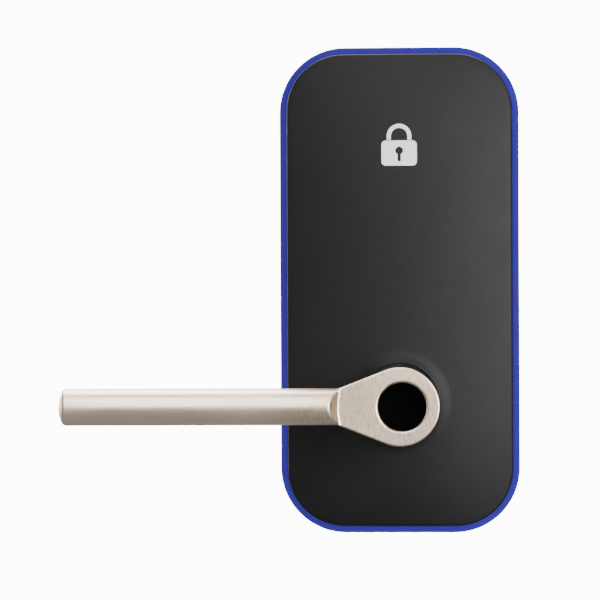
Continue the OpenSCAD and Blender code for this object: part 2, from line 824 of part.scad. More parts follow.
module lever() {
    color([0.74, 0.71, 0.68]) plan() difference() {
        union() {
            difference() {
                bar_blank();
                spot_face();
            }
            rod(hub_r, hub_back, hub_face);
            translate([0, 0, hub_back]) linear_extrude(hub_t) polygon([
                tear_tangent, [tear_u, bar_r], [tear_u, -bar_r],
                [tear_tangent[0], -tear_tangent[1]]]);
            rod(neck_r, neck_back, hub_back + eps);
        }
        rod(tube_r + bore_fit, neck_back - eps, tube_end + 0.5);
        translate([cap_u, 0, 0]) {
            rod(cap_r, cap_floor, hub_face + eps);
            translate([0, 0, hub_face - 0.4]) cylinder(r1 = cap_r - 0.05, r2 = cap_r + 0.55,
                h = 0.6);
        }
        translate([0, -neck_r - eps, grub_w]) along_v() rod(2, 0, neck_r - tube_r + 2);
    }
}

module lever_grub_screw() {
    color([0.2, 0.2, 0.21]) plan() translate([0, -neck_r + 0.3, grub_w]) along_v()
        difference() {
            rod(1.97, 0, 3.5);
            translate([0, 0, -eps]) cylinder(r = 1.15, h = 2.2, $fn = 6);
        }
}

// Black plug that closes the round recess in the lever.
module hub_cap() {
    top = hub_face - cap_sink;
    color([0.02, 0.02, 0.02]) plan() translate([cap_u, 0, 0]) difference() {
        rod(cap_r - 0.03, cap_floor, top);
        rod(cap_r - 1.4, top - 0.5, top + eps);
    }
}

front_cover();
lock_emblem();
trim_gasket();
back_plate();
mounting_posts();
cover_screw();
reader_board();
touch_pads();
antenna_coil();
keypad_leds();
reader_screws();
controller_board();
controller_chips();
controller_screws();
flat_cable();
buzzer();
tamper_switch();
battery_holder();
battery_1();
battery_2();
battery_3();
battery_4();
battery_springs();
battery_contacts();
holder_screws();
clutch_cassette();
cassette_lid();
cassette_screws();
neck_bearing();
return_spring();
clutch_slider();
lead_screw();
clutch_motor();
outer_hub();
hub_circlip();
clutch_pin();
lever();
lever_grub_screw();
hub_cap();
spindle_hub();
spindle();
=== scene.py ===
import json
import math

import bpy
import numpy as np
from mathutils import Matrix, Vector
from mathutils.geometry import delaunay_2d_cdt


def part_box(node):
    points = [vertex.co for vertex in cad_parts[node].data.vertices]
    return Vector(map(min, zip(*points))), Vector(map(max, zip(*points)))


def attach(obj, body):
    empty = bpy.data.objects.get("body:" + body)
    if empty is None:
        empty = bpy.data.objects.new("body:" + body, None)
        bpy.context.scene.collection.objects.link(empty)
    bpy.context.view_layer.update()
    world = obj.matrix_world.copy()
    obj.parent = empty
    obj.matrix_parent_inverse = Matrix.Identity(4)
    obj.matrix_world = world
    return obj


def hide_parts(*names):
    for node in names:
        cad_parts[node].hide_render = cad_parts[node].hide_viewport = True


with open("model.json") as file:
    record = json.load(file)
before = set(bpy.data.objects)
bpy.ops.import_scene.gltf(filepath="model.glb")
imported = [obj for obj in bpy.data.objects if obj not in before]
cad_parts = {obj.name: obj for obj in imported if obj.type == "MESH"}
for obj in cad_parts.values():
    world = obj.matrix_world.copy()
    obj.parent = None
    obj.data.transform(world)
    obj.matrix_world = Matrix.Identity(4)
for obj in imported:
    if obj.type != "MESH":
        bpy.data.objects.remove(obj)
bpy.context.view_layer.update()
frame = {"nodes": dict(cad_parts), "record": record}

# Exterior trim of a keypad smart lock. Shapes are worked out in millimetres in plan
# coordinates, u to the right, v up and w out of the door, and placed in metres in the
# row frame, where u is X, v is Z and w is -Y.

MM = 0.001


def node_box_mm(name):
    """Lowest and highest (u, v, w) of a CAD node, in millimetres."""
    low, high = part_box(name)
    return (np.array([low.x, low.z, -high.y]) / MM, np.array([high.x, high.z, -low.y]) / MM)


GASKET_LOW, GASKET_HIGH = node_box_mm("trim_gasket")
COVER_LOW, COVER_HIGH = node_box_mm("front_cover")
LEVER_LOW, LEVER_HIGH = node_box_mm("lever")
CAP_LOW, CAP_HIGH = node_box_mm("hub_cap")

CASE_W, CASE_H = (GASKET_HIGH - GASKET_LOW)[:2]
CASE_V = (GASKET_HIGH[1] + GASKET_LOW[1]) / 2
CASE_R = 23.7
GASKET_TOP = GASKET_HIGH[2]
# The cover's foot stands this much further in than the CAD's, to show more of the bead.
FOOT_TUCK = 0.4
BORDER = (CASE_W - (COVER_HIGH - COVER_LOW)[0]) / 2 + FOOT_TUCK
LIP_INSET = 7.0
LIP_T = 1.2

COVER_BACK = 3.7
COVER_TOP = 29.0
COVER_T = 2.2
SIDE_DRAFT = 0.8
END_DRAFT = 1.6
EDGE_ROLL = 0.6
EDGE_DROP = 0.6
# The crown falls by these heights at these distances from the middle of the case.
SIDE_FALL = 3.5
SIDE_REACH = 40
END_FALL = 3.5
END_REACH = 85
NECK_HOLE_R = 13.4
COLLAR_R = 18.7
COLLAR_SWEEP = 11.0
HOLE_LIP = 0.5
EMBLEM_V = 91.2
EMBLEM_PROUD = 0.05
EMBLEM_SUNK = 0.4

HUB_R = 13.45
HUB_DRAFT = 0.05
HUB_FACE = LEVER_HIGH[2] - 3.45
HUB_BACK = HUB_FACE - 9.5
BAR_R = 6.25
BAR_AXIS = HUB_FACE - 2.8
BAR_TIP = LEVER_LOW[0]
TIP_DOME = 12.5
NECK_R = 11.5
NECK_BACK = LEVER_LOW[2]
SPOT_R = 21.3
SPOT_SLOPE = 0.74
TEAR_U = -20.9
TUBE_BORE_R = 8.05
TUBE_BORE_END = 46.5
CAP_R = 8.13
CAP_PLACE = ((CAP_LOW + CAP_HIGH) / 2)[:2]
CAP_FLOOR = CAP_LOW[2]
CAP_TOP = CAP_HIGH[2]


# ---- camera, lights and stage ----

def make_camera():
    """Nearly level, straight in front of the case, turned a little towards the lever."""
    data = bpy.data.cameras.new("camera")
    data.lens = 150.75
    data.sensor_width = 36
    data.clip_start = 0.05
    data.clip_end = 50
    camera = bpy.data.objects.new("camera", data)
    bpy.context.scene.collection.objects.link(camera)
    place = Vector((0.0, -0.920, CASE_V * MM))
    target = Vector((-0.0363, -0.005, CASE_V * MM - 0.00345))
    roll = Matrix.Rotation(math.radians(-0.25), 4, "Z")
    aim = (target - place).to_track_quat("-Z", "Y").to_matrix().to_4x4()
    camera.matrix_world = Matrix.Translation(place) @ aim @ roll
    bpy.context.scene.camera = camera


def area_light(name, place, target, size, brightness):
    """A rectangular softbox of size (width, height) that faces target."""
    data = bpy.data.lights.new(name, "AREA")
    data.shape = "RECTANGLE"
    data.size, data.size_y = size
    data.energy = 4 * brightness * size[0] * size[1]
    light = bpy.data.objects.new(name, data)
    bpy.context.scene.collection.objects.link(light)
    light.location = place
    light.rotation_mode = "QUATERNION"
    light.rotation_quaternion = (Vector(target) - Vector(place)).to_track_quat("-Z", "Y")


def softbox(name, azimuth, elevation, distance, size, brightness):
    """A softbox that faces the case. Azimuth 0 is straight in front and 90 to the right."""
    centre = Vector((-0.02, 0.0, 0.02))
    a, e = math.radians(azimuth), math.radians(elevation)
    away = Vector((math.sin(a) * math.cos(e), -math.cos(a) * math.cos(e), math.sin(e)))
    area_light(name, centre + distance * away, centre, size, brightness)


def make_lights():
    softbox("right_softbox", 31, 4, 1.35, (0.72, 0.72), 12.5)
    softbox("side_softbox", 54, 20, 2.0, (0.7, 0.9), 3.5)
    softbox("key_softbox", -4, 22, 2.2, (0.85, 1.4), 4.4)
    softbox("high_softbox", -12, 52, 2.1, (1.1, 0.8), 5.0)
    softbox("left_softbox", -84, 6, 1.8, (1.2, 1.2), 2.5)
    softbox("rim_softbox", -136, 14, 2.1, (1.1, 1.2), 6.0)
    softbox("top_softbox", 185, 66, 1.5, (1.6, 1.3), 7.5)


def make_world():
    world = bpy.data.worlds.new("studio")
    world.use_nodes = True
    background = world.node_tree.nodes["Background"]
    background.inputs["Color"].default_value = (0.98, 0.99, 1.0, 1)
    background.inputs["Strength"].default_value = 0.36
    bpy.context.scene.world = world


def flat_sheet(name, corners, material):
    mesh = bpy.data.meshes.new(name)
    mesh.from_pydata([Vector(c) for c in corners], [], [(0, 1, 2, 3)])
    mesh.materials.append(material)
    sheet = bpy.data.objects.new(name, mesh)
    bpy.context.scene.collection.objects.link(sheet)
    return sheet


def make_stage():
    floor_z = -0.30
    back_y = 1.7
    half, top = 0.8, 0.9
    floor = [(-4, -4, floor_z), (4, -4, floor_z), (4, 4, floor_z), (-4, 4, floor_z)]
    back = [(-half, back_y, floor_z), (half, back_y, floor_z), (half, back_y, top),
        (-half, back_y, top)]
    ground = flat_sheet("floor", floor, stage_material("floor_paper", 0.6, 0.0))
    ground.visible_glossy = False
    backdrop = flat_sheet("backdrop", back, stage_material("backdrop_paper", 0.8, 10.0))
    backdrop.visible_glossy = False


# ---- materials ----

def start_material(name, color, roughness, metallic=0.0, **inputs):
    """A Principled material with its constants set on the shader's own sockets."""
    material = bpy.data.materials.new(name)
    material.use_nodes = True
    shader = material.node_tree.nodes["Principled BSDF"]
    shader.inputs["Base Color"].default_value = (*color, 1)
    shader.inputs["Roughness"].default_value = roughness
    shader.inputs["Metallic"].default_value = metallic
    for socket, value in inputs.items():
        shader.inputs[socket.replace("_", " ")].default_value = value
    return material, material.node_tree, shader


def coordinates(tree, stretch=(1, 1, 1)):
    """Object coordinates, in metres, scaled along each axis."""
    source = tree.nodes.new("ShaderNodeTexCoord")
    mapping = tree.nodes.new("ShaderNodeMapping")
    mapping.inputs["Scale"].default_value = stretch
    tree.links.new(source.outputs["Object"], mapping.inputs["Vector"])
    return mapping.outputs["Vector"]


def noise(tree, scale, detail=3.0, stretch=(1, 1, 1)):
    """A noise value about 0.5. Scale is in cycles per metre."""
    texture = tree.nodes.new("ShaderNodeTexNoise")
    texture.inputs["Scale"].default_value = scale
    texture.inputs["Detail"].default_value = detail
    tree.links.new(coordinates(tree, stretch), texture.inputs["Vector"])
    return texture.outputs["Fac"]


def spread(tree, value, low, high, start=0.3, end=0.7):
    """Maps a value from start..end to low..high."""
    node = tree.nodes.new("ShaderNodeMapRange")
    node.inputs["From Min"].default_value = start
    node.inputs["From Max"].default_value = end
    node.inputs["To Min"].default_value = low
    node.inputs["To Max"].default_value = high
    tree.links.new(value, node.inputs["Value"])
    return node.outputs["Result"]


def mix_colors(tree, factor, a, b):
    node = tree.nodes.new("ShaderNodeMix")
    node.data_type = "RGBA"
    node.inputs[6].default_value = (*a, 1)
    node.inputs[7].default_value = (*b, 1)
    tree.links.new(factor, node.inputs["Factor"])
    return node.outputs[2]


def mix_linked(tree, kind, factor, a, b):
    """Mixes two linked values, vectors or colours."""
    first, second, result = {"FLOAT": (2, 3, 0), "VECTOR": (4, 5, 1), "RGBA": (6, 7, 2)}[kind]
    node = tree.nodes.new("ShaderNodeMix")
    node.data_type = kind
    tree.links.new(factor, node.inputs["Factor"])
    tree.links.new(a, node.inputs[first])
    tree.links.new(b, node.inputs[second])
    return node.outputs[result]


def add_bump(tree, shader, height, strength, distance, normal=None):
    node = tree.nodes.new("ShaderNodeBump")
    node.inputs["Strength"].default_value = strength
    node.inputs["Distance"].default_value = distance
    tree.links.new(height, node.inputs["Height"])
    if normal is not None:
        tree.links.new(normal, node.inputs["Normal"])
    tree.links.new(node.outputs["Normal"], shader.inputs["Normal"])
    return node.outputs["Normal"]


def stage_material(name, grey, glow):
    """Plain paper that may give off light of its own."""
    material, _, shader = start_material(name, (grey, grey, grey), 0.9)
    shader.inputs["Emission Color"].default_value = (1, 1, 1, 1)
    shader.inputs["Emission Strength"].default_value = glow
    return material


def grained(name, dark, light, roughness, grain, depth, metallic=0.0, **inputs):
    """Moulded or cast surface: fine grain, with a slow drift of colour and gloss."""
    material, tree, shader = start_material(name, light, roughness, metallic, **inputs)
    slow = noise(tree, 90, 4)
    tree.links.new(mix_colors(tree, spread(tree, slow, 0, 1), dark, light),
        shader.inputs["Base Color"])
    fine = noise(tree, grain, 2)
    tree.links.new(spread(tree, slow, roughness - 0.04, roughness + 0.04),
        shader.inputs["Roughness"])
    add_bump(tree, shader, fine, 0.35, depth)
    return material


def soft_black():
    """Soft-touch moulded plastic with an even, very fine satin grain."""
    material, tree, shader = start_material("soft_black", (0.0018, 0.0018, 0.0019), 0.48,
        Specular_IOR_Level=0.19)
    slow = noise(tree, 60, 3)
    tree.links.new(mix_colors(tree, spread(tree, slow, 0, 1), (0.0015, 0.00145, 0.0016),
        (0.0021, 0.0020, 0.0022)), shader.inputs["Base Color"])
    tree.links.new(spread(tree, slow, 0.46, 0.50), shader.inputs["Roughness"])
    add_bump(tree, shader, noise(tree, 2600, 2), 0.30, 0.00006)
    return material


def blue_silicone():
    """Saturated blue silicone without gloss, and with a faint painted glow that holds its blue
    colour where the bead lies in shade.
    """
    material, tree, shader = start_material("blue_silicone", (0.009, 0.007, 0.10), 0.5,
        Specular_IOR_Level=0.0, Emission_Strength=1.0)
    # Painted light: a self-glow that lifts the bead's blue on its shaded sides.
    shader.inputs["Emission Color"].default_value = (0.034, 0.023, 0.21, 1)
    slow = noise(tree, 120, 3)
    tree.links.new(mix_colors(tree, spread(tree, slow, 0, 1), (0.008, 0.006, 0.09),
        (0.010, 0.008, 0.11)), shader.inputs["Base Color"])
    tree.links.new(spread(tree, slow, 0.38, 0.46), shader.inputs["Roughness"])
    add_bump(tree, shader, noise(tree, 3000, 2), 0.25, 0.00004)
    return material


def place_ramp(tree, axis, start, end):
    """0 where the object coordinate along an axis is below start, rising to 1 at end."""
    source = tree.nodes.new("ShaderNodeTexCoord")
    split = tree.nodes.new("ShaderNodeSeparateXYZ")
    tree.links.new(source.outputs["Object"], split.inputs["Vector"])
    return spread(tree, split.outputs[axis], 0, 1, start, end)


def radial_tangent(tree, axis):
    node = tree.nodes.new("ShaderNodeTangent")
    node.direction_type = "RADIAL"
    node.axis = axis
    return node.outputs["Tangent"]


def satin_nickel():
    """Satin nickel, brushed along the bar and upright on the hub, with a fine grain.

    Painted shade: the bar darkens towards the hub into a darker copy of the nickel there, and
    the neck behind the hub, which sits in shade, is painted a greyer, cooler copy."""
    material, tree, shader = start_material("satin_nickel", (0.70, 0.56, 0.43), 0.32, 1.0)
    hub = place_ramp(tree, "X", -0.0215, -0.0205)
    # Painted shade: the bar's colour fades into the darker copy of the nickel that covers the
    # hub.
    painted_shade_ramp = place_ramp(tree, "X", -0.046, -0.0235)
    neck = place_ramp(tree, "Y", -0.0605, -0.0595)
    along, upright = (0.04, 1, 1), (1, 1, 0.22)
    bar_lines, hub_lines = noise(tree, 3000, 4, along), noise(tree, 1700, 5, upright)
    lines = mix_linked(tree, "FLOAT", hub, bar_lines, hub_lines)
    tree.links.new(mix_linked(tree, "VECTOR", hub, radial_tangent(tree, "X"),
        radial_tangent(tree, "Z")), shader.inputs["Tangent"])
    tree.links.new(spread(tree, hub, 0.55, 0.25, 0, 1), shader.inputs["Anisotropic"])
    bar_color = mix_colors(tree, spread(tree, bar_lines, 0, 1), (0.67, 0.54, 0.42),
        (0.82, 0.665, 0.52))
    # The hub's colour carries its brushed lines and a painted shade that keeps it darker than
    # the bar.
    hub_grain_and_shade = mix_colors(tree, spread(tree, hub_lines, 0, 1), (0.44, 0.345, 0.265),
        (0.73, 0.575, 0.44))
    # Painted shade: the neck sits in shade behind the hub and gets a greyer copy of the nickel,
    # so its shade does not turn bronze.
    neck_grey_in_shade = mix_colors(tree, spread(tree, hub_lines, 0, 1), (0.50, 0.45, 0.40),
        (0.60, 0.54, 0.48))
    front = mix_linked(tree, "RGBA", painted_shade_ramp, bar_color, hub_grain_and_shade)
    tree.links.new(mix_linked(tree, "RGBA", neck, front, neck_grey_in_shade),
        shader.inputs["Base Color"])
    tree.links.new(spread(tree, noise(tree, 45, 3), 0.28, 0.36), shader.inputs["Roughness"])
    first = add_bump(tree, shader, lines, 0.4, 0.00005)
    add_bump(tree, shader, noise(tree, 1500, 2), 0.25, 0.00005, first)
    return material


def brushed_metal(name, color, roughness, stretch=(1, 1, 0.05), metallic=1.0):
    material, tree, shader = start_material(name, color, roughness, metallic)
    lines = noise(tree, 3000, 3, stretch)
    dark = tuple(c * 0.88 for c in color)
    tree.links.new(mix_colors(tree, spread(tree, lines, 0, 1), dark, color),
        shader.inputs["Base Color"])
    tree.links.new(spread(tree, noise(tree, 80, 3), roughness - 0.06, roughness + 0.06),
        shader.inputs["Roughness"])
    add_bump(tree, shader, lines, 0.2, 0.00004)
    return material


def zinc_steel():
    """Zinc-plated steel: a faint crystalline mottling over a cool grey."""
    material, tree, shader = start_material("zinc_steel", (0.55, 0.57, 0.60), 0.36, 1.0)
    texture = tree.nodes.new("ShaderNodeTexVoronoi")
    texture.inputs["Scale"].default_value = 160
    tree.links.new(coordinates(tree), texture.inputs["Vector"])
    cells = spread(tree, texture.outputs["Distance"], 0, 1, 0, 0.6)
    tree.links.new(mix_colors(tree, cells, (0.60, 0.62, 0.64), (0.50, 0.52, 0.55)),
        shader.inputs["Base Color"])
    tree.links.new(spread(tree, noise(tree, 140, 4), 0.30, 0.44), shader.inputs["Roughness"])
    add_bump(tree, shader, noise(tree, 900, 3), 0.15, 0.00005)
    return material


def circuit_board():
    """Green solder mask with a pattern of buried tracks on a square grid."""
    material, tree, shader = start_material("circuit_board", (0.01, 0.11, 0.05), 0.35,
        Specular_IOR_Level=0.5)
    texture = tree.nodes.new("ShaderNodeTexBrick")
    texture.inputs["Scale"].default_value = 260
    texture.inputs["Mortar Size"].default_value = 0.06
    for socket, color in (("Color1", (0.008, 0.095, 0.042)), ("Color2", (0.012, 0.13, 0.06)),
            ("Mortar", (0.02, 0.2, 0.09))):
        texture.inputs[socket].default_value = (*color, 1)
    source = tree.nodes.new("ShaderNodeTexCoord")
    turn = tree.nodes.new("ShaderNodeMapping")
    turn.inputs["Rotation"].default_value = (math.radians(90), 0, 0)
    tree.links.new(source.outputs["Object"], turn.inputs["Vector"])
    tree.links.new(turn.outputs["Vector"], texture.inputs["Vector"])
    tree.links.new(texture.outputs["Color"], shader.inputs["Base Color"])
    add_bump(tree, shader, texture.outputs["Fac"], 0.3, 0.00005)
    return material


def cell_wrap():
    """Plain dark green sleeve with a slight drift of shade and gloss."""
    material, tree, shader = start_material("cell_wrap", (0.04, 0.14, 0.06), 0.3,
        Specular_IOR_Level=0.5)
    wear = noise(tree, 300, 3)
    tree.links.new(mix_colors(tree, spread(tree, wear, 0, 1), (0.03, 0.11, 0.05),
        (0.05, 0.17, 0.08)), shader.inputs["Base Color"])
    tree.links.new(spread(tree, wear, 0.26, 0.36), shader.inputs["Roughness"])
    add_bump(tree, shader, wear, 0.1, 0.00005)
    return material


def make_materials():
    """One finish for each material slot of the record."""
    return {
        "soft_black": soft_black(),
        "emblem_white": grained("emblem_white", (0.50, 0.51, 0.52), (0.60, 0.61, 0.62),
            0.45, 2500, 0.00003),
        "blue_silicone": blue_silicone(),
        "zinc_steel": zinc_steel(),
        "black_steel": brushed_metal("black_steel", (0.05, 0.05, 0.055), 0.42, (1, 1, 1)),
        "circuit_board": circuit_board(),
        "copper": brushed_metal("copper", (0.72, 0.38, 0.19), 0.3, (1, 1, 1)),
        "led_lens": grained("led_lens", (0.78, 0.76, 0.56), (0.9, 0.88, 0.66), 0.2, 900,
            0.00002),
        "cable_film": grained("cable_film", (0.45, 0.2, 0.04), (0.62, 0.3, 0.07), 0.25,
            1200, 0.00003),
        "black_plastic": grained("black_plastic", (0.016, 0.016, 0.018),
            (0.026, 0.026, 0.028), 0.5, 1500, 0.00006),
        "cell_wrap": cell_wrap(),
        "nickel_contact": brushed_metal("nickel_contact", (0.72, 0.7, 0.66), 0.25, (1, 1, 1)),
        "cast_zinc": grained("cast_zinc", (0.40, 0.41, 0.43), (0.52, 0.53, 0.54), 0.48,
            1100, 0.00009, 1.0),
        "nylon": grained("nylon", (0.70, 0.67, 0.58), (0.80, 0.77, 0.68), 0.4, 1400,
            0.00005),
        "spring_steel": brushed_metal("spring_steel", (0.42, 0.42, 0.43), 0.32, (1, 1, 1)),
        "brass": brushed_metal("brass", (0.66, 0.5, 0.22), 0.3, (1, 1, 1)),
        "satin_nickel": satin_nickel(),
        # Painted shade: the plug is black plastic painted an almost lightless black with hardly
        # any gloss, so it reads as the dark of the hole in the hub.
        "plug_black": grained("plug_black", (0.0003, 0.0003, 0.0003),
            (0.0006, 0.0006, 0.0006), 0.6, 2000, 0.00004, Specular_IOR_Level=0.01),
    }


# ---- mesh building ----

def to_row(points):
    """Plan millimetres to metres in the row frame."""
    points = np.asarray(points, float)
    return np.stack([points[:, 0], -points[:, 2], points[:, 1]], axis=1) * MM


def add_piece(name, points, faces, body, slot, materials, stands_for, normals=None):
    """Makes a smooth-shaded piece that rides on a body and stands for CAD nodes."""
    mesh = bpy.data.meshes.new(name)
    mesh.from_pydata(to_row(points).tolist(), [], faces)
    mesh.validate()
    mesh.materials.append(materials[slot])
    mesh.shade_smooth()
    if normals is not None:
        turned = np.stack([normals[:, 0], -normals[:, 2], normals[:, 1]], axis=1)
        mesh.normals_split_custom_set_from_vertices(turned.tolist())
    piece = bpy.data.objects.new(name, mesh)
    bpy.context.scene.collection.objects.link(piece)
    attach(piece, body)
    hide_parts(*stands_for)
    return piece


def ring_faces(rings, count, closed):
    """Quads between successive rings of count points. A closed loft joins last to first."""
    faces = []
    for k in range(rings if closed else rings - 1):
        a, b = k * count, ((k + 1) % rings) * count
        for i in range(count):
            j = (i + 1) % count
            faces.append((a + i, a + j, b + j, b + i))
    return faces


def outline_points(inset_u, inset_v, spacing=1.3):
    """Points about the case centre along the case's rounded outline, inset from its edge.

    The count is the same for every inset, so that two outlines can be joined by quads."""
    r = CASE_R - (inset_u + inset_v) / 2
    half_u, half_v = CASE_W / 2 - inset_u - r, CASE_H / 2 - inset_v - r
    arc = max(8, round(CASE_R * math.pi / 2 / spacing))
    points = []
    for quarter, (su, sv) in enumerate(((1, 1), (-1, 1), (-1, -1), (1, -1))):
        for k in range(arc + 1):
            a = math.radians(90) * (quarter + k / arc)
            points.append((su * half_u + r * math.cos(a), sv * half_v + r * math.sin(a)))
        a = math.radians(90) * (quarter + 1)
        run = 2 * (half_u if quarter % 2 == 0 else half_v)
        steps = round((CASE_W if quarter % 2 == 0 else CASE_H) / spacing)
        u, v = points[-1]
        for k in range(1, steps):
            points.append((u - math.sin(a) * run * k / steps, v + math.cos(a) * run * k / steps))
    return np.array(points)


def face_outline(inset):
    """Outline of the cover's face, which the leaning walls bring in from its foot."""
    return outline_points(BORDER + SIDE_DRAFT + inset, BORDER + END_DRAFT + inset)


def with_height(flat, w):
    """Plan points from points about the case centre and a height or heights."""
    w = np.broadcast_to(w, len(flat))
    return np.stack([flat[:, 0], flat[:, 1] + CASE_V, w], axis=1)


# ---- case ----

def crown(flat):
    """Height of the cover's crown over points about the case centre."""
    return (COVER_TOP - SIDE_FALL * (flat[:, 0] / SIDE_REACH) ** 2
        - END_FALL * (flat[:, 1] / END_REACH) ** 4)


def collar(flat):
    """Extra height of the low flare that sweeps up to the hole for the lever neck."""
    r = np.hypot(flat[:, 0], flat[:, 1] + CASE_V)
    run = np.clip(COLLAR_R - r, 0, COLLAR_R - NECK_HOLE_R)
    return COLLAR_SWEEP - np.sqrt(COLLAR_SWEEP ** 2 - run ** 2)


def neck_circle(angles, r):
    """Points about the case centre on a circle round the lever axis."""
    return np.stack([r * np.cos(angles), r * np.sin(angles) - CASE_V], axis=1)


def cover_rings():
    """Rings of the cover: outer wall, rolled edge, crown, collar, lip, and back inside."""
    rim = outline_points(BORDER, BORDER)
    rings = [with_height(rim, COVER_BACK), with_height(rim, GASKET_TOP)]
    for t in (0.35, 0.7):
        ring = rim * (1 - t) + face_outline(0) * t
        rings.append(with_height(ring, GASKET_TOP * (1 - t) + (crown(ring) - EDGE_DROP) * t))
    for t in np.radians(np.linspace(0, 90, 9)):
        ring = face_outline(EDGE_ROLL * (1 - math.cos(t)))
        rings.append(with_height(ring, crown(ring) - EDGE_DROP * (1 - math.sin(t))))
    shoulder = face_outline(EDGE_ROLL)
    angles = np.arctan2(shoulder[:, 1] + CASE_V, shoulder[:, 0])
    outer = neck_circle(angles, COLLAR_R + 1)
    for t in np.linspace(0, 1, 42)[1:]:
        ring = shoulder * (1 - t) + outer * t
        rings.append(with_height(ring, crown(ring) + collar(ring)))
    for r in np.linspace(COLLAR_R + 1, NECK_HOLE_R + HOLE_LIP, 22)[1:]:
        ring = neck_circle(angles, r)
        rings.append(with_height(ring, crown(ring) + collar(ring)))
    crest = rings[-1][:, 2]
    for t in np.radians([18, 36, 54, 72, 90]):
        ring = neck_circle(angles, NECK_HOLE_R + HOLE_LIP * (1 - math.sin(t)))
        rings.append(with_height(ring, crest - HOLE_LIP * (1 - math.cos(t))))
    hole = neck_circle(angles, NECK_HOLE_R)
    rings.append(with_height(hole, crown(hole) - COVER_T))
    inner = face_outline(COVER_T + 2)
    for t in np.linspace(0, 1, 8)[1:]:
        ring = hole * (1 - t) + inner * t
        rings.append(with_height(ring, crown(ring) - COVER_T - 0.3 * t))
    side = face_outline(COVER_T)
    rings.append(with_height(side, crown(side) - COVER_T - 3))
    rings.append(with_height(side, COVER_BACK))
    return rings


def make_cover(materials):
    rings = cover_rings()
    faces = ring_faces(len(rings), len(rings[0]), True)
    add_piece("cover_shell", np.concatenate(rings), faces, "case", "soft_black",
        materials, ["front_cover"])


def make_gasket(materials):
    """Soft bead round the cover, with a thin lip behind that seals to the door."""
    inner = BORDER - 0.15
    profile = [(LIP_INSET, 0), (0.9, 0), (0.45, 0.12), (0.12, 0.45), (0, 0.9)]
    soft = 0.4
    nose = 1.2
    profile += [(nose - nose * math.cos(a), GASKET_TOP - nose + nose * math.sin(a))
        for a in np.radians(np.linspace(0, 90, 10))]
    profile += [(inner - soft + soft * math.sin(a), GASKET_TOP - soft + soft * math.cos(a))
        for a in np.radians(np.linspace(0, 90, 6))]
    profile += [(inner, LIP_T + 0.5), (inner, LIP_T), (LIP_INSET, LIP_T)]
    rings = [with_height(outline_points(d, d), w) for d, w in profile]
    faces = ring_faces(len(rings), len(rings[0]), True)
    add_piece("gasket_bead", np.concatenate(rings), faces, "case", "blue_silicone",
        materials, ["trim_gasket"])


def arc_points(centre, r, start, end, steps):
    return [(centre[0] + r * math.cos(a), centre[1] + r * math.sin(a))
        for a in np.radians(np.linspace(start, end, steps + 1))]


def padlock_loops():
    """Outer loops and holes of the padlock sign, about its own centre."""
    half_w, half_h, mid, r = 6.3, 4.5, -3.1, 1.6
    body = []
    for quarter, (su, sv) in enumerate(((1, 1), (-1, 1), (-1, -1), (1, -1))):
        centre = (su * (half_w - r), mid + sv * (half_h - r))
        body += arc_points(centre, r, 90 * quarter, 90 * quarter + 90, 6)
    key = arc_points((0, mid + 0.9), 1.35, -66, 246, 20) + [(-0.55, mid - 2.9),
        (0.55, mid - 2.9)]
    shackle = (arc_points((0, 2.9), 4.4, 0, 180, 28) + [(-4.4, 1.6), (-2.9, 1.6)]
        + arc_points((0, 2.9), 2.9, 180, 0, 22) + [(2.9, 1.6), (4.4, 1.6)])
    return [body, shackle], [key]


def inside_loop(point, loop):
    """Even-odd test of a point against a closed loop."""
    x, y = point
    odd = False
    for (x0, y0), (x1, y1) in zip(loop, loop[1:] + loop[:1]):
        if (y0 > y) != (y1 > y) and x < x0 + (y - y0) * (x1 - x0) / (y1 - y0):
            odd = not odd
    return odd


def make_emblem(materials):
    """The padlock sign: a closed inlay that follows the crown, a hair proud of it."""
    solid, holes = padlock_loops()
    points, edges = [], []
    for loop in solid + holes:
        first = len(points)
        points += [Vector(p) for p in loop]
        edges += [(first + i, first + (i + 1) % len(loop)) for i in range(len(loop))]
    step = 0.8
    for x in np.arange(-6, 6.1, step):
        for y in np.arange(-7.4, 7.2, step):
            points.append(Vector((x, y)))
    verts, _, triangles, *_ = delaunay_2d_cdt(points, edges, [], 0, 1e-5)
    kept = []
    for tri in triangles:
        mid = sum((verts[i] for i in tri), Vector((0, 0))) / 3
        if any(inside_loop(mid, s) for s in solid) and not inside_loop(mid, holes[0]):
            kept.append(tuple(tri))
    flat = np.array([[p.x, p.y + EMBLEM_V - CASE_V] for p in verts])
    top = with_height(flat, crown(flat) + EMBLEM_PROUD)
    low = with_height(flat, crown(flat) - EMBLEM_SUNK)
    count = len(verts)
    used = {}
    for tri in kept:
        for a, b in zip(tri, tri[1:] + tri[:1]):
            used[(a, b)] = True
    border = [(a, b) for a, b in used if (b, a) not in used]
    faces = kept + [(b, a, a + count, b + count) for a, b in border]
    faces += [(c + count, b + count, a + count) for a, b, c in kept]
    keep = sorted({i for f in faces for i in f})
    index = {old: new for new, old in enumerate(keep)}
    all_points = np.concatenate([top, low])[keep]
    faces = [tuple(index[i] for i in f) for f in faces]
    piece = add_piece("padlock_sign", all_points, faces, "case", "emblem_white", materials,
        ["lock_emblem"])
    for face in piece.data.polygons:
        face.use_smooth = len(face.vertices) == 3


# ---- lever ----

def smooth_max(a, b, k):
    """Largest of two fields, with the meeting edge rounded over a width of about k."""
    h = np.maximum(k - np.abs(a - b), 0) / k
    return np.maximum(a, b) + h * h * k / 4


def smooth_min(a, b, k):
    return -smooth_max(-a, -b, k)


def bar_field(u, v, w):
    """Round bar with a domed end."""
    radial = np.hypot(v, w - BAR_AXIS) - BAR_R
    centre = BAR_TIP + TIP_DOME
    beyond = np.sqrt((u - centre) ** 2 + v ** 2 + (w - BAR_AXIS) ** 2) - TIP_DOME
    end = np.where(u < centre, beyond, -TIP_DOME)
    return smooth_max(smooth_max(radial, end, 0.9), u + 5, 0.5)


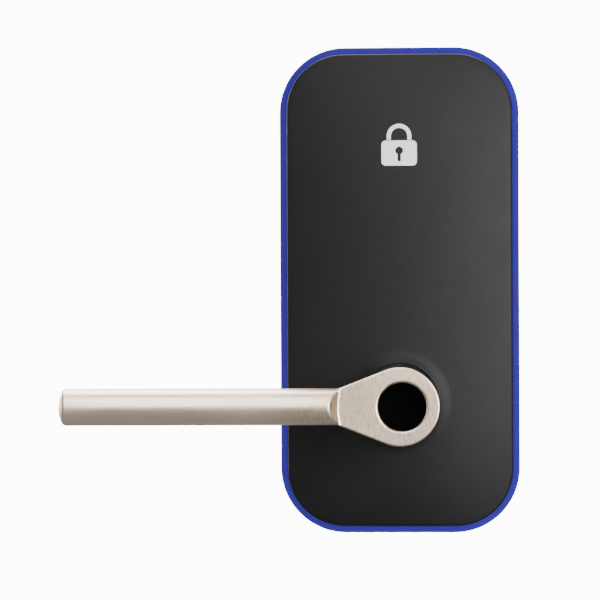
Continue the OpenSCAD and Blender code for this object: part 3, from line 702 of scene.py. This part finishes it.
def hub_field(u, v, w):
    """Teardrop plate: the hub disc and the two flanks that run tangent to it."""
    ring = np.hypot(u, v)
    angle = math.atan2(BAR_R, TEAR_U) - math.acos(HUB_R / math.hypot(TEAR_U, BAR_R))
    nu, nv = math.cos(angle), math.sin(angle)
    flanks = nu * u + nv * np.abs(v) - HUB_R
    tear = np.maximum(np.maximum(flanks, TEAR_U - u), u - HUB_R * nu)
    outline = np.minimum(ring - HUB_R, tear) + HUB_DRAFT * (HUB_FACE - w)
    top = HUB_FACE + 2
    return smooth_max(outline, np.maximum(HUB_BACK - w, w - top), 0.8)


def spot_field(u, v, w):
    """Tool that cuts bar and hub flat, with a conical wall and a curved foot."""
    wall = (np.hypot(u, v) - SPOT_R - SPOT_SLOPE * (w - HUB_FACE)) / math.hypot(1, SPOT_SLOPE)
    return smooth_max(HUB_FACE - w, wall, 0.6)


def lever_field(points):
    """Negative inside the lever. Points are plan millimetres."""
    u, v, w = points[:, 0], points[:, 1], points[:, 2]
    ring = np.hypot(u, v)
    body = smooth_min(bar_field(u, v, w), hub_field(u, v, w), 0.6)
    body = smooth_max(body, -spot_field(u, v, w), 0.6)
    neck = smooth_max(ring - NECK_R, NECK_BACK - w, 0.8)
    neck = np.maximum(neck, w - HUB_FACE + 4)
    body = smooth_min(body, neck, 1.8)
    hole = np.hypot(u - CAP_PLACE[0], v - CAP_PLACE[1])
    recess = np.maximum(hole - CAP_R, CAP_FLOOR - w)
    body = smooth_max(body, -recess, 0.3)
    body = smooth_max(body, (CAP_R + 0.5 + w - HUB_FACE - hole) * math.sqrt(0.5), 0.3)
    bore = np.maximum(ring - TUBE_BORE_R, w - TUBE_BORE_END)
    return smooth_max(body, -bore, 0.4)


def field_gradient(field, points, step=0.04):
    gradient = np.zeros_like(points)
    for k in range(3):
        shift = np.zeros(3)
        shift[k] = step
        gradient[:, k] = (field(points + shift) - field(points - shift)) / (2 * step)
    return gradient


def cell_quads(inside, index, axis):
    """Quads across the grid edges along one axis that the surface crosses."""
    b, c = (axis + 1) % 3, (axis + 2) % 3
    order = (axis, b, c)
    turned, cells = inside.transpose(order), index.transpose(order)
    here, there = turned[:-1, 1:-1, 1:-1], turned[1:, 1:-1, 1:-1]
    corner = [cells[:, :-1, :-1], cells[:, 1:, :-1], cells[:, 1:, 1:], cells[:, :-1, 1:]]
    out = here & ~there
    back = ~here & there
    quads = [np.stack([q[out] for q in corner], axis=1),
        np.stack([q[back] for q in corner[::-1]], axis=1)]
    return np.concatenate(quads)


def implicit_mesh(field, low, high, cell):
    """Points, quads and normals of the surface where a field is 0, on a regular grid."""
    axes = [np.arange(low[k] - 2 * cell, high[k] + 3 * cell, cell) for k in range(3)]
    shape = tuple(len(a) for a in axes)
    values = np.empty(shape, np.float32)
    for i, u in enumerate(axes[0]):
        v, w = np.meshgrid(axes[1], axes[2], indexing="ij")
        plane = np.stack([np.full(v.size, u), v.ravel(), w.ravel()], axis=1)
        values[i] = field(plane).reshape(v.shape)
    inside = values < 0
    count = np.zeros(tuple(n - 1 for n in shape), np.int8)
    for du in (0, 1):
        for dv in (0, 1):
            for dw in (0, 1):
                count += inside[du:shape[0] - 1 + du, dv:shape[1] - 1 + dv,
                    dw:shape[2] - 1 + dw]
    crossed = (count > 0) & (count < 8)
    index = np.full(crossed.shape, -1, np.int64)
    index[crossed] = np.arange(crossed.sum())
    where = np.argwhere(crossed)
    points = np.stack([axes[k][where[:, k]] + cell / 2 for k in range(3)], axis=1)
    middle = points.copy()
    for _ in range(5):
        gradient = field_gradient(field, points)
        length = np.maximum((gradient ** 2).sum(1), 1e-6)
        points = points - gradient * (field(points) / length)[:, None]
        points = np.clip(points, middle - 0.75 * cell, middle + 0.75 * cell)
    faces = np.concatenate([cell_quads(inside, index, axis) for axis in range(3)])
    normals = field_gradient(field, points)
    normals /= np.maximum(np.linalg.norm(normals, axis=1), 1e-9)[:, None]
    return points, faces.tolist(), normals


def make_lever(materials):
    cell = 0.26
    points, faces, normals = implicit_mesh(lever_field, LEVER_LOW, LEVER_HIGH, cell)
    add_piece("lever_skin", points, faces, "lever_set", "satin_nickel", materials,
        ["lever"], normals)


def lathe(name, profile, place, body, slot, materials, stands_for, sides=96):
    """A turned piece about an axis out of the door. Profile points are (radius, w)."""
    angles = np.linspace(0, 2 * math.pi, sides, endpoint=False)
    rings = [np.stack([place[0] + r * np.cos(angles), place[1] + r * np.sin(angles),
        np.full(sides, w)], axis=1) for r, w in profile]
    faces = ring_faces(len(rings), sides, False)
    last = (len(rings) - 1) * sides
    faces.append(tuple(reversed(range(sides))))
    faces.append(tuple(last + i for i in range(sides)))
    add_piece(name, np.concatenate(rings), faces, body, slot, materials, stands_for)


def make_plug(materials):
    """Black plug, painted an almost lightless black that stands for the shade in the hub's hole:
    a soft rim round a slightly sunk middle.
    """
    edge = CAP_R - 0.03
    profile = [(edge, CAP_FLOOR), (edge, CAP_TOP - 0.5)]
    profile += [(edge - 0.4 + 0.4 * math.cos(a), CAP_TOP - 0.4 + 0.4 * math.sin(a))
        for a in np.radians([0, 30, 60, 90])]
    profile += [(edge - 1.1, CAP_TOP), (edge - 1.4, CAP_TOP - 0.1),
        (edge - 1.55, CAP_TOP - 0.35), (edge - 1.8, CAP_TOP - 0.45), (1.0, CAP_TOP - 0.5)]
    lathe("hub_plug", profile, CAP_PLACE, "lever_set", "plug_black", materials, ["hub_cap"])


# ---- carried-over parts ----

def paint_cad_nodes(materials):
    """Gives every CAD node that is still shown the finish of its slot."""
    slots = {part["node"]: part["material_slot"] for part in frame["record"]["subparts"]}
    for name, node in frame["nodes"].items():
        node.data.materials.clear()
        node.data.materials.append(materials[slots[name]])


def build():
    make_camera()
    make_lights()
    make_world()
    make_stage()
    materials = make_materials()
    make_cover(materials)
    make_gasket(materials)
    make_emblem(materials)
    make_lever(materials)
    make_plug(materials)
    paint_cad_nodes(materials)


build()
